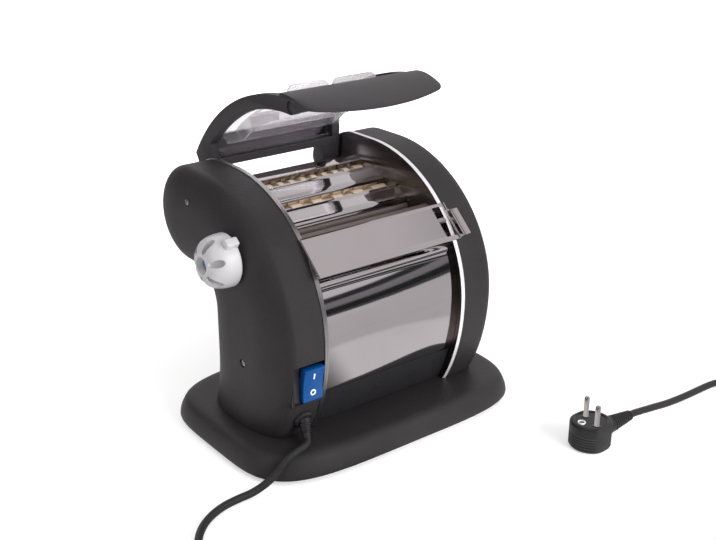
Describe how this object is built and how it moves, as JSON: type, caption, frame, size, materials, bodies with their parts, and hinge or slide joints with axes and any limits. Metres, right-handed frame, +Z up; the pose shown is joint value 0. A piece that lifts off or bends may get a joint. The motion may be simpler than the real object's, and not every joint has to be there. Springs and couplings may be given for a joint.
{
  "type": "electric pasta maker",
  "caption": "Countertop electric pasta machine: geared rolling and cutting rollers between round side plates, with lift-up clear lid, feed tray, thickness knob, rocker switch and mains cord.",
  "frame": {"origin": "on the floor under the middle of the machine's own box, the loose cord and plug left out", "axes": "+Z up, +X to the right seen from the front, +Y towards the back, the knob on the -X side"},
  "size_m": [0.5975, 0.5144, 0.3283],
  "materials": {
    "black_shell": "fine textured",
    "black_gloss": "smooth satin",
    "chrome": "polished",
    "steel": "plain",
    "bronze_coating": "bronze-toned, satin",
    "rubber": "matt",
    "blue_rocker": "translucent look, moulded",
    "blue_cap": "moulded",
    "satin_silver": "satin silver paint",
    "smoke_clear": "clear smoky plastic",
    "gear_nylon": "moulded",
    "motor_steel": "plated",
    "cord_black": "smooth flexible sheath",
    "nickel": "nickel plated"
  },
  "bodies": {
    "housing": {"base_shell": "black_shell", "base_plate": "steel", "foot_front_left": "rubber", "foot_front_right": "rubber", "foot_rear_left": "rubber", "foot_rear_right": "rubber", "left_side_plate": "chrome", "right_side_plate": "chrome", "left_cover": "black_shell", "right_cover": "black_shell", "front_panel": "chrome", "lower_apron": "black_gloss", "rear_panel": "chrome", "rear_strip": "chrome", "guide_bar_rear": "chrome", "guide_bar_middle": "chrome", "guide_bar_front": "chrome", "wide_scraper": "steel", "narrow_scraper": "steel", "tray_rod": "steel", "gearhead": "motor_steel", "motor": "motor_steel", "switch_housing": "black_gloss", "cord_gland": "black_gloss", "power_cord": "cord_black", "cord_coil": "cord_black", "cord_tail": "cord_black", "plug_body": "black_gloss", "plug_pin_near": "nickel", "plug_pin_far": "nickel"},
    "lid": {"lid_frame": "black_shell", "lid_shield": "smoke_clear", "left_guard": "smoke_clear", "right_guard": "smoke_clear"},
    "switch_rocker": {"rocker": "blue_rocker"},
    "tray": {"feed_tray": "chrome"},
    "knob": {"thickness_knob": "satin_silver", "knob_cap": "blue_cap", "adjuster_shaft": "steel"},
    "roller_carrier": {"roller_slide": "steel"},
    "moving_roller": {"smooth_roller_moving": "bronze_coating", "moving_roller_gear": "gear_nylon"},
    "fixed_roller": {"smooth_roller_fixed": "bronze_coating", "fixed_roller_gear": "gear_nylon"},
    "wide_front_roller": {"wide_cutter_front": "bronze_coating", "wide_front_gear": "gear_nylon"},
    "wide_rear_roller": {"wide_cutter_rear": "bronze_coating", "wide_rear_gear": "gear_nylon"},
    "narrow_front_roller": {"narrow_cutter_front": "bronze_coating", "narrow_front_gear": "gear_nylon"},
    "narrow_rear_roller": {"narrow_cutter_rear": "bronze_coating", "narrow_rear_gear": "gear_nylon"},
    "drive_wheel": {"drive_gear": "gear_nylon"},
    "pinion": {"motor_pinion": "gear_nylon"},
    "idler": {"idler_gear": "gear_nylon"},
    "upper_idler": {"upper_idler_gear": "gear_nylon"}
  },
  "joints": [
    {"name": "lid_hinge", "type": "hinge", "parent": "housing", "child": "lid", "pos_m": [0, 0.10455, 0.214], "axis": [1, 0, 0], "range_deg": [0, 34]},
    {"name": "rocker_press", "type": "hinge", "parent": "housing", "child": "switch_rocker", "pos_m": [-0.09085, -0.08825, 0.083], "axis": [1, 0, 0], "range_deg": [-16, 0]},
    {"name": "tray_lift", "type": "slide", "parent": "housing", "child": "tray", "axis": [0, -0.6746, 0.7382], "range_m": [0, 0.008]},
    {"name": "knob_turn", "type": "hinge", "parent": "housing", "child": "knob", "pos_m": [0, -0.02095, 0.185], "axis": [1, 0, 0], "range_deg": [0, 180]},
    {"name": "roller_gap", "type": "slide", "parent": "housing", "child": "roller_carrier", "axis": [0, 1, 0], "range_m": [0, 0.002]},
    {"name": "moving_roller_spin", "type": "hinge", "parent": "roller_carrier", "child": "moving_roller", "pos_m": [0, -0.0136, 0.1745], "axis": [1, 0, 0], "continuous": true},
    {"name": "fixed_roller_spin", "type": "hinge", "parent": "housing", "child": "fixed_roller", "pos_m": [0, -0.0353, 0.1745], "axis": [1, 0, 0], "continuous": true},
    {"name": "wide_front_spin", "type": "hinge", "parent": "housing", "child": "wide_front_roller", "pos_m": [0, 0.00275, 0.1926], "axis": [1, 0, 0], "continuous": true},
    {"name": "wide_rear_spin", "type": "hinge", "parent": "housing", "child": "wide_rear_roller", "pos_m": [0, 0.02135, 0.1926], "axis": [1, 0, 0], "continuous": true},
    {"name": "narrow_front_spin", "type": "hinge", "parent": "housing", "child": "narrow_front_roller", "pos_m": [0, 0.03925, 0.2032], "axis": [1, 0, 0], "continuous": true},
    {"name": "narrow_rear_spin", "type": "hinge", "parent": "housing", "child": "narrow_rear_roller", "pos_m": [0, 0.05785, 0.2032], "axis": [1, 0, 0], "continuous": true},
    {"name": "drive_spin", "type": "hinge", "parent": "housing", "child": "drive_wheel", "pos_m": [0, -0.02745, 0.13339], "axis": [1, 0, 0], "continuous": true},
    {"name": "pinion_spin", "type": "hinge", "parent": "housing", "child": "pinion", "pos_m": [0, -0.03545, 0.0939], "axis": [1, 0, 0], "continuous": true},
    {"name": "idler_spin", "type": "hinge", "parent": "housing", "child": "idler", "pos_m": [0, 0.00796, 0.16812], "axis": [1, 0, 0], "continuous": true},
    {"name": "upper_idler_spin", "type": "hinge", "parent": "housing", "child": "upper_idler", "pos_m": [0, 0.04334, 0.18504], "axis": [1, 0, 0], "continuous": true}
  ],
  "couplings": [
    {"joint": "roller_gap", "follows": "knob_turn", "m_per_rad": 0.000636},
    {"joint": "moving_roller_spin", "follows": "fixed_roller_spin", "ratio": -1},
    {"joint": "drive_spin", "follows": "fixed_roller_spin", "ratio": -0.35},
    {"joint": "pinion_spin", "follows": "fixed_roller_spin", "ratio": 1.1667},
    {"joint": "idler_spin", "follows": "fixed_roller_spin", "ratio": 0.58333},
    {"joint": "wide_rear_spin", "follows": "fixed_roller_spin", "ratio": -1.1667},
    {"joint": "wide_front_spin", "follows": "fixed_roller_spin", "ratio": 1.1667},
    {"joint": "upper_idler_spin", "follows": "fixed_roller_spin", "ratio": 0.77778},
    {"joint": "narrow_rear_spin", "follows": "fixed_roller_spin", "ratio": -1.1667},
    {"joint": "narrow_front_spin", "follows": "fixed_roller_spin", "ratio": 1.1667}
  ]
}
